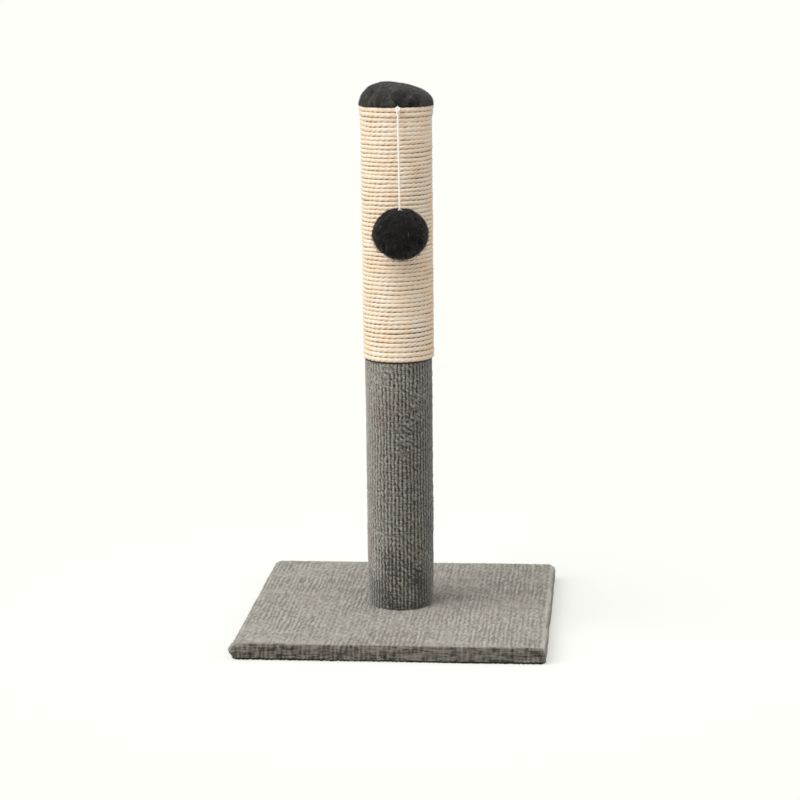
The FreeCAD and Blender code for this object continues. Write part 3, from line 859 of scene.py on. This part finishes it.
def make_base_cover(look):
    half, _, top = box("base_cover")[1]
    inset = edge_radius
    ring, normal = square_ring(half - inset, corner_radius - inset)
    patch = inner_patch(ring)
    rows, columns = patch.shape[:2]
    tall = cloth_ribs(patch[..., 0], patch[..., 1])
    flat = np.dstack([patch, patch[..., :1] * 0])
    rounded = np.clip((np.abs(patch[..., 0]) - half + round_width) / round_width, 0, 1)
    sag = 0.35 * smooth(field(flat, 60.0, 44), -1.5, 1.5) + side_round * rounded ** 2
    flat = np.dstack([patch, top - rib_depth * (1 - tall) - sag]).reshape(-1, 3)
    # Darker in the pile's hollows; a painted highlight on the top's right rim
    made = [(flat, (1 - tall).ravel(), -smooth(flat[:, 0], half - 6.0, half - 3.0))]
    keep = np.linalg.norm(patch, axis=-1) > bolt_hole_radius
    quads = grid_faces(rows, columns, round_columns=False)
    faces = [quads[keep.ravel()[quads].all(1)]]
    index = np.arange(rows * columns).reshape(rows, columns)
    before = np.concatenate([index[0, :-1], index[:-1, -1], index[-1, :0:-1], index[:0:-1, 0]])
    start, wrap, last = rows * columns, 0.0, (half - inset, top)
    for profile in base_profile(half, top):
        wrap += math.dist(profile[:2], last)
        last = profile[:2]
        made.append(base_row(ring, normal, wrap, profile, half, top))
        now = start + np.arange(len(ring))
        start += len(ring)
        faces.append(np.stack([before, np.roll(before, -1), np.roll(now, -1), now], 1)[:, ::-1])
        before = now
    points, hollow, side = (np.concatenate(parts) for parts in zip(*made))
    cover = new_piece("plush_base_cover", points, faces, "stand", "base_plush", look,
                      hollow=hollow, side=side)
    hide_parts("base_cover")
    make_pile("base_pile", cover, "stand", "base_plush", look, base_pile_lowest)


# Cap

def cap_profile(bottom, hem):
    """The cap's way from the skirt's foot up to the crown: radii and heights, as columns."""
    rows = [(31.6, bottom), (32.05, bottom + 0.4), (32.05, hem - 0.8), (33.0, hem + 0.1)]
    rim = hem + cap_lip
    for angle in (np.arange(6) / 6 - 1) * quarter:
        rows.append((cap_radius - cap_lip * (1 - math.cos(angle)), rim + cap_lip * math.sin(angle)))
    for angle in quarter * np.arange(cap_rows) / (cap_rows - 1):
        tall = (cap_apex - rim) * math.sin(angle) ** 1.1
        rows.append((cap_radius * math.cos(angle) ** 0.8, rim + tall))
    return np.array(rows).T[..., None]


def make_cap(look, hair_look):
    pivot = joints["toy_swing_outward"]["pos_m"]
    toy = math.atan2(pivot[1], pivot[0])
    hem = box("post_tube")[1, 2] - 0.1
    turn = turns_round(cap_columns)[None]
    radius, height = cap_profile(box("cap_cover")[0, 2], hem)
    flat = round_points(turn, radius, height)
    up = np.clip((height - hem) / (cap_apex - hem), 0, 1)
    dome = smooth(height - hem, -0.2, 2.0)
    away = (turn - toy + math.pi) % math.tau - math.pi
    gathers = np.cos(turn * gather_count + 1.5 * field(flat, 22.0, 51)) * np.exp(-up * 6.5)
    pull = bell(away, 0.13) * np.exp(-up * 3.0)
    lumps = 0.40 * field(flat, 19.0, 52) + 0.34 * field(flat, 7.0, 53) + 0.16 * field(flat, 3.0, 55)
    swell = lumps * np.sqrt(np.clip(1 - up, 0, 1)) + 0.25 * gathers - pull_depth * pull
    radius = radius + dome * swell
    outside = smooth(radius, 32.3, 33.5)
    notch = bell(away, 0.085, 4) * np.exp(-np.abs(height - hem) / 2.6)
    height = height + dome * (0.5 * lumps * up) + cord_notch_lift * notch * outside
    height = height + 0.35 * field(flat * (1, 1, 0), 24.0, 54) * dome * (1 - up)
    height = height - np.clip(rope_fall(turn), 0, None) * outside * np.exp(-up * 9)
    height = height - cap_lean_share * np.cos(turn) * radius * up ** 2.2
    points = round_points(turn, radius, height)
    points, faces = closed_grid(points, points[-1].mean(0))
    # Painted shade: darker in the cap's dents and creases and where the cord pulls it in; darker
    # towards the crown
    hollow = 0.3 + 0.4 * up ** 2 + 0.4 * (pull * 1.5 - gathers * 0.5 - lumps * 1.6)
    hollow = np.clip(np.append(hollow, 0.7), 0, 1)
    cap = new_piece("plush_cap", points, faces, "stand", "cap_plush", look, hollow=hollow)
    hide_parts("cap_cover")
    make_pile("cap_pile", cap, "stand", "cap_plush", hair_look, hem - 5)


def make_pile(name, piece, body, slot, look, lowest=-math.inf):
    """Short hairs that stand on a piece's skin, evenly over its area, shaded as their roots are."""
    count, length, radius, seed, lean, steps = piles[name]
    mesh = piece.data
    mesh.calc_loop_triangles()
    corners = read(mesh.loop_triangles, "vertices", 3, np.int32)
    triangles = (read(mesh.vertices, "co", 3) / mm).astype(float)[corners]
    high_enough = triangles[:, :, 2].min(1) > lowest
    triangles, corners = triangles[high_enough], corners[high_enough]
    across = np.cross(triangles[:, 1] - triangles[:, 0], triangles[:, 2] - triangles[:, 0])
    area = np.linalg.norm(across, axis=1)
    draw = np.random.default_rng(seed)
    pick = draw.choice(len(triangles), count, p=area / area.sum())
    a, b = draw.uniform(size=(2, count, 1))
    over = a + b > 1
    a, b = np.where(over, 1 - a, a), np.where(over, 1 - b, b)
    one, two, three = (triangles[pick, corner] for corner in range(3))
    root = one + (two - one) * a + (three - one) * b
    normal = across[pick] / area[pick, None]
    way = normal + draw.normal(0, 0.30, (count, 3))
    clumps = np.clip(1 + 0.3 * field(root, 4.5, seed), 0.4, 1.5)
    tall = length * draw.uniform(0.6, 1.1, count) * clumps
    bend = (np.asarray(lean) + draw.normal(0, 0.25, (count, 3))) * tall[:, None]
    points, faces = hairs(root - normal * 0.1, way, tall, radius, bend, steps)
    shades = {}
    for key, share in (("hollow", 0.4), ("side", 1.0)):
        shades[key] = np.zeros(count, np.float32)
        if key in mesh.attributes:
            shades[key] = read(mesh.attributes[key].data, "value", 1)[corners[pick, 0], 0] * share
    shades["hollow"] = np.clip(shades["hollow"] + draw.uniform(-0.3, 0.7, count), 0, 1)
    shades = {key: np.repeat(values, 3 * steps + 1) for key, values in shades.items()}
    new_piece(name, points, faces, body, slot, look, **shades)


# Ball

def cord_frame():
    """The pivot, and the directions along the cord upwards, aside, and inwards to the post."""
    pivot = np.array(joints["toy_swing_outward"]["pos_m"]) / mm
    axis = unit(np.array(joints["toy_ball_twist"]["axis"]))
    aside = np.array(joints["toy_swing_outward"]["axis"])
    return pivot, axis, aside, unit(np.cross(aside, axis))


def make_ball(look, hair_look, tuft_look):
    _, axis, aside, inwards = cord_frame()
    middle = np.array(joints["toy_ball_twist"]["pos_m"]) / mm
    polar = np.linspace(0.055, math.pi - 0.03, ball_rows)
    polar, turn = np.meshgrid(polar, turns_round(ball_columns), indexing="ij")
    flat = round_points(turn, np.sin(polar), np.cos(polar)) * ball_radius
    gather = 0.55 + 0.45 * np.cos(turn * ball_gather_count + 1.2 * field(flat, 15.0, 71))
    gather = gather * np.exp(-polar / 0.32)
    lumps = 0.50 * field(flat, 15.0, 72) + 0.50 * field(flat, 5.0, 73) + 0.26 * field(flat, 2.4, 74)
    fold = bell(turn - 4.35 + 0.25 * np.cos(polar * 2), 0.09) * smooth(polar, 0.4, 1.0)
    away = turn - math.pi
    notch = bell(polar, 0.42, 4) * bell(away * polar, 0.15) * smooth(np.cos(away), -0.3, 0.5)
    swell = np.minimum(lumps, ball_lump_limit) - 1.8 * gather - 0.5 * fold - 5.0 * notch
    local = flat * (1 + swell / ball_radius)[..., None] * (1, 1, ball_half_height / ball_radius)
    points = middle + local @ np.array((inwards, aside, axis))
    points, faces = closed_grid(points, points[-1].mean(0))
    # Painted shade: darker in the gathers by the cord, in the notch and the fold, and between the
    # lumps
    hollow = 0.35 + gather + notch + 0.6 * fold - 1.2 * lumps
    hollow = np.append(np.clip(hollow, 0, 1), 0.3)
    ball = new_piece("plush_ball", points, faces, "toy_ball", "ball_plush", look,
                     flip=True, hollow=hollow)
    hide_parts("ball_cover")
    make_pile("ball_pile", ball, "toy_ball", "ball_plush", hair_look)
    make_pile("ball_tufts", ball, "toy_ball", "ball_plush", tuft_look)


# Cord

def spline_points(name, route):
    """Points of the smooth NURBS line through a route's control points, in millimetres."""
    curve = bpy.data.curves.new(name, "CURVE")
    curve.dimensions = "3D"
    curve.resolution_u = 24
    spline = curve.splines.new("NURBS")
    spline.points.add(len(route) - 1)
    for point, place in zip(spline.points, route):
        point.co = (*place, 1.0)
    spline.order_u = 3
    spline.use_endpoint_u = True
    holder = bpy.data.objects.new(name, curve)
    mesh = bpy.data.meshes.new_from_object(holder)
    line = np.array([vertex.co for vertex in mesh.vertices])
    bpy.data.objects.remove(holder)
    bpy.data.meshes.remove(mesh)
    return line


def make_cord(name, route, body, look):
    """A cotton cord of two twisted plies along a route, and its evenly spaced centre line."""
    line = spline_points(name, route)
    far = lengths_along(line)
    along = np.linspace(0, far[-1], int(far[-1] / cord_step) + 1)
    line = np.stack([np.interp(along, far, line[:, axis]) for axis in range(3)], 1)
    thick = np.full(len(line), cord_diameter / 2)
    points, angle = sweep(line, cord_plies, along * math.tau / cord_lay, thick, thick)
    cord = new_piece(name, points, tube_faces(*angle.shape), body, "cord_cotton", look,
                     flip=True, hollow=np.tile(cord_hollows, len(line)))
    return cord, line


def make_knot(name, middle, body, look, size, node):
    """A small overhand knot, drawn long by its pull: a thick cord along a trefoil."""
    turn = turns_round(knot_rings)
    loop = np.stack([np.sin(turn) + 2 * np.sin(2 * turn), np.sin(3 * turn),
                     np.cos(turn) - 2 * np.cos(2 * turn)], 1) * (0.85, 0.975, 1.35) * size / 3
    ahead = unit(np.roll(loop, -1, 0) - np.roll(loop, 1, 0))
    side = unit(np.cross(ahead, (0.3, 0.8, 0.52)))
    other = np.cross(ahead, side)
    angles = turns_round(knot_sides)[None, :, None]
    thick = cord_diameter / 2 * 1.12
    ring = side[:, None] * np.cos(angles) + other[:, None] * np.sin(angles)
    tube = loop[:, None] + ring * thick
    faces = grid_faces(knot_rings + 1, knot_sides) % (knot_rings * knot_sides)
    _, axis, aside, inwards = cord_frame()
    points = middle + tube @ np.array((aside, inwards, axis))
    knot = new_piece(name, points, [faces], body, "cord_cotton", look,
                     hollow=np.full(knot_rings * knot_sides, 0.1))
    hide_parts(node)
    return knot


def make_cords(look):
    pivot, axis, _, _ = cord_frame()
    end_knot = box("cord_end_knot").mean(0)
    start, end = 1.0, float(np.dot(pivot - end_knot, axis)) - 2.7
    route = [pivot - axis * far for far in (start, 6.0, end / 3, 2 * end / 3, end - 6.0, end)]
    cord, line = make_cord("hanging_cotton_cord", route, "hanging_cord", look)
    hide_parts("toy_cord")
    hem = pivot - axis * 0.9
    top_knot = make_knot("knot_at_hem", hem, "cord_swivel", look, 2.1, "cord_top_knot")
    inner_knot = make_knot("knot_in_ball", end_knot, "hanging_cord", look, 1.9, "cord_end_knot")
    out = unit(pivot * (1, 1, 0))
    aside = np.cross(UP, out)
    tail_points = [out * x + aside * y + UP * z for x, y, z in tail_route]
    tail, _ = make_cord("cord_under_cap", tail_points, "stand", look)
    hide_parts("cord_tail")


# Wadding

def make_wadding(name, node, body, look, seed, shares, foot):
    """A lumpy mass of fibre in the room that its node takes, drawn in by shares to its foot."""
    piece = link(name, frame["nodes"][node].data.copy())
    remesh = piece.modifiers.new("even", "REMESH")
    remesh.mode = "VOXEL"
    remesh.voxel_size = wadding_grid * mm
    bpy.context.view_layer.update()
    graph = bpy.context.evaluated_depsgraph_get()
    made = bpy.data.meshes.new_from_object(piece.evaluated_get(graph))
    piece.modifiers.clear()
    piece.data = made
    co, normal = read(made.vertices, "co", 3) / mm, read(made.vertices, "normal", 3)
    sink = 0.5 + 0.35 * field(co, 6.0, seed) + 0.2 * field(co, 2.5, seed + 1)
    sink = np.clip(sink, 0.05, 1.4)
    low, high = box(node)
    middle = low + (high - low) * (0.5, 0.5, foot)
    lumpy = middle + (co - normal * sink[:, None] - middle) * shares
    made.vertices.foreach_set("co", (lumpy * mm).astype(np.float32).ravel())
    made.polygons.foreach_set("use_smooth", [True] * len(made.polygons))
    made.update()
    made.materials.clear()
    made.materials.append(look)
    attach(piece, body)
    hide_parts(node)


# Stage

def seen_rays(tree):
    """1 for the rays by which the camera sees a thing: directly, in a mirror or through glass."""
    light = add(tree, "LightPath").outputs
    seen = total(tree, light["Is Camera Ray"], light["Is Glossy Ray"])
    return total(tree, seen, light["Is Transmission Ray"])


def make_floor():
    """A pale floor that keeps the shadow near the object and fades into the background."""
    mesh = bpy.data.meshes.new("floor")
    corners = [(x * floor_half, y * floor_half, 0) for x, y in ((-1, -1), (1, -1), (1, 1), (-1, 1))]
    mesh.from_pydata(corners, [], [(0, 1, 2, 3)])
    floor = link("floor", mesh)
    floor.location.z = -0.02 * mm
    look, tree = new_material("floor", 1.0, 0.0)
    shader = tree.nodes["Principled BSDF"]
    far = add(tree, "VectorMath", {0: places(tree)}, operation="LENGTH").outputs["Value"]
    fade = spread(tree, far, *floor_fade, 1.0)
    seen = seen_rays(tree)
    tree.links.new(mix(tree, seen, floor_tone, floor_seen_tone), shader.inputs["Base Color"])
    glow = add(tree, "Emission", {"Color": colour(*background), "Strength": 1.0})
    shares = {0: product(tree, seen, fade), 1: shader.outputs[0], 2: glow.outputs[0]}
    both = add(tree, "MixShader", shares)
    tree.links.new(both.outputs[0], tree.nodes["Material Output"].inputs["Surface"])
    mesh.materials.append(look)


def make_lights():
    world = bpy.data.worlds.new("studio")
    bpy.context.scene.world = world
    world.use_nodes = True
    tree = world.node_tree
    tree.nodes.clear()
    sky = add(tree, "Background", {"Color": (1.0, 1.0, 1.0, 1.0), "Strength": sky_strength})
    backdrop = add(tree, "Background", {"Color": colour(*background), "Strength": 1.0})
    shares = {0: seen_rays(tree), 1: sky.outputs[0], 2: backdrop.outputs[0]}
    both = add(tree, "MixShader", shares)
    add(tree, "OutputWorld", {"Surface": both.outputs[0]})
    for name, (place, strength, angle) in lamps.items():
        lamp = link(name, bpy.data.lights.new(name, "SUN"))
        lamp.data.energy = strength
        lamp.data.angle = math.radians(angle)
        lamp.rotation_mode = "QUATERNION"
        lamp.rotation_quaternion = Vector(place).to_track_quat("Z", "Y")


def make_camera():
    level = math.cos(pitch)
    ahead = Vector((-math.sin(azimuth) * level, math.cos(azimuth) * level, -math.sin(pitch)))
    right = ahead.cross(Vector(UP)).normalized()
    up = right.cross(ahead)
    across = right * math.cos(roll) + up * math.sin(roll)
    upwards = up * math.cos(roll) - right * math.sin(roll)
    place = Vector((
        math.sin(azimuth) * camera_distance + math.cos(azimuth) * camera_aside,
        math.sin(azimuth) * camera_aside - math.cos(azimuth) * camera_distance,
        camera_height,
    )) * mm
    data = bpy.data.cameras.new("camera")
    data.sensor_width = sensor_width
    data.lens = focal_pixels / photo_side * sensor_width
    data.shift_y = (middle_row - photo_side / 2) / photo_side
    data.clip_end = 100.0
    camera = link("camera", data)
    turned = Matrix((across, upwards, -ahead)).transposed().to_4x4()
    camera.matrix_world = Matrix.Translation(place) @ turned
    bpy.context.scene.camera = camera


def dress(look, slot, *nodes):
    """The CAD nodes that keep their shape get a material."""
    for node in nodes:
        piece = frame["nodes"][node]
        piece.data.materials.clear()
        piece.data.materials.append(look)


make_camera()
make_lights()
make_floor()

make_cords(cord_look())
sisal = sisal_look()
make_rope(sisal)
make_rope_fibres(sisal)
plushes = {name: plush(name, *colours, **more) for name, (*colours, more) in plush_looks.items()}
make_sleeve(plushes["sleeve_plush"])
make_base_cover(plushes["base_plush"])
make_cap(plushes["cap_plush"], plushes["cap_pile"])
make_ball(plushes["ball_plush"], plushes["ball_pile"], plushes["ball_tufts"])
wadding = wadding_look()
make_wadding("cap_wadding", "cap_filling", "stand", wadding, 81, (0.92, 0.92, 0.78), 0.0)
make_wadding("ball_wadding", "ball_filling", "toy_ball", wadding, 84, (0.90, 0.90, 0.90), 0.5)

dress(chipboard_look(), "board", "base_board")
dress(cardboard_look(), "tube_card", "post_tube")
dress(wood_look(), "plug_wood", "bottom_plug", "top_plug")
dress(steel_look(), "steel", "base_bolt", "base_washer", "t_nut", "cover_staples",
      "plug_staples", "rope_staples", "cap_staples", "cord_staple")

bpy.context.scene.view_settings.view_transform = "Standard"
